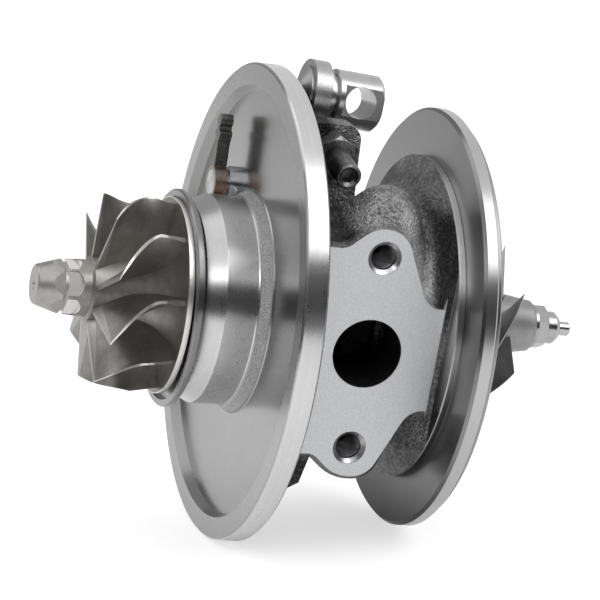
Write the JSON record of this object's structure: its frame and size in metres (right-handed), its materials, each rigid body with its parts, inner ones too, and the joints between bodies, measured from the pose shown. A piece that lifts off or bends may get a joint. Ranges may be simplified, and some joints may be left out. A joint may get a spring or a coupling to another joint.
{
  "type": "turbocharger cartridge",
  "caption": "Variable-nozzle turbocharger core: cast bearing housing between two round flanges, turbine and compressor wheels on one shaft, oil drain flange and nozzle lever with swivel pin.",
  "frame": {"origin": "on the shaft axis, half way through the rim of the turbine flange", "axes": "+X along the shaft from the turbine wheel to the compressor wheel, -Y out of the oil drain face, +Z completes the frame and points towards the nozzle lever"},
  "size_m": [0.1106, 0.093, 0.093],
  "materials": {
    "cast_iron": "sand cast, flanges and faces machined bright",
    "shield_steel": "pressed sheet, satin",
    "turbine_alloy": "investment cast nickel alloy, blade tips ground",
    "shaft_steel": "ground",
    "ring_steel": "ground",
    "bearing_bronze": "turned",
    "thrust_steel": "ground",
    "deflector_steel": "pressed sheet",
    "backplate_metal": "turned",
    "seal_rubber": "smooth",
    "fastener_steel": "plated",
    "compressor_alloy": "investment cast, tips turned",
    "nut_zinc": "bright zinc",
    "lever_steel": "machined, heat tinted at the hub",
    "pin_steel": "turned and milled",
    "screw_black": "black oxide"
  },
  "bodies": {
    "housing": {"bearing_housing": "cast_iron", "heat_shield": "shield_steel", "turbine_piston_ring": "ring_steel", "bearing_retaining_rings": "ring_steel", "thrust_bearing": "bearing_bronze", "thrust_bearing_screws": "fastener_steel", "oil_deflector": "deflector_steel", "compressor_piston_ring": "ring_steel", "compressor_backplate": "backplate_metal", "backplate_o_ring": "seal_rubber", "backplate_screws": "fastener_steel", "lever_bush": "shaft_steel", "stop_screw": "screw_black", "stop_lock_nut": "screw_black"},
    "rotor": {"turbine_wheel": "turbine_alloy", "rotor_shaft": "shaft_steel", "thrust_collar": "thrust_steel", "oil_flinger": "thrust_steel", "compressor_wheel": "compressor_alloy", "shaft_nut": "nut_zinc"},
    "turbine_bearing": {"turbine_journal_bearing": "bearing_bronze"},
    "compressor_bearing": {"compressor_journal_bearing": "bearing_bronze"},
    "nozzle_lever": {"lever_shaft": "shaft_steel", "inner_lever": "lever_steel", "outer_lever": "lever_steel"},
    "swivel_pin": {"actuator_pin": "pin_steel", "pin_washer": "ring_steel"}
  },
  "joints": [
    {"name": "rotor_spin", "type": "hinge", "parent": "housing", "child": "rotor", "pos_m": [0, 0, 0], "axis": [1, 0, 0], "continuous": true},
    {"name": "turbine_bearing_spin", "type": "hinge", "parent": "housing", "child": "turbine_bearing", "pos_m": [0, 0, 0], "axis": [1, 0, 0], "continuous": true},
    {"name": "compressor_bearing_spin", "type": "hinge", "parent": "housing", "child": "compressor_bearing", "pos_m": [0, 0, 0], "axis": [1, 0, 0], "continuous": true},
    {"name": "nozzle_lever_turn", "type": "hinge", "parent": "housing", "child": "nozzle_lever", "pos_m": [0, 0.01676, 0.01881], "axis": [-1, 0, 0], "range_deg": [0, 50]},
    {"name": "swivel_pin_turn", "type": "hinge", "parent": "nozzle_lever", "child": "swivel_pin", "pos_m": [0.0118, 0.0144, 0.0394], "axis": [0.9976, 0, -0.0698], "range_deg": [-80, 80]}
  ]
}
